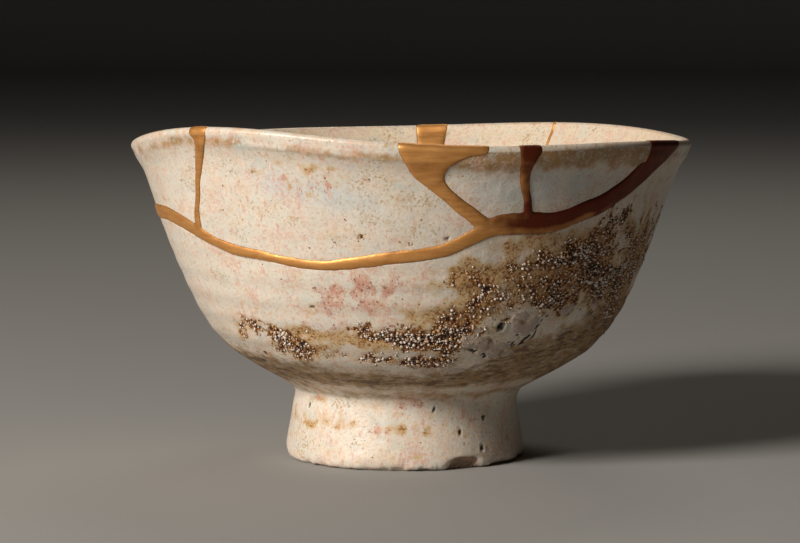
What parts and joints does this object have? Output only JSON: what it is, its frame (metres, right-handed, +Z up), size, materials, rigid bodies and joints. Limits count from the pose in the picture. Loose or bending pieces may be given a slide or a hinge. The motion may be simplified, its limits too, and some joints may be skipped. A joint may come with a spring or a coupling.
{
  "type": "kintsugi bowl",
  "caption": "Footed stoneware tea bowl, broken at the rim and rejoined with raised gold lacquer seams, hollow and open at the top.",
  "frame": {"origin": "on the table, under the middle of the rim", "axes": "+Z up out of the bowl's mouth, -Y towards the front with the wide gold fill, +X to its right"},
  "size_m": [0.1438, 0.1443, 0.0875],
  "materials": {
    "glaze": "satin",
    "gold": "satin"
  },
  "bodies": {
    "root": {"bowl_body": "glaze", "left_rim_sherd": "glaze", "front_rim_sherd": "glaze", "middle_rim_sherd": "glaze", "right_rim_sherd": "glaze", "gold_seam": "gold", "hairline_repair": "gold"}
  },
  "joints": []
}
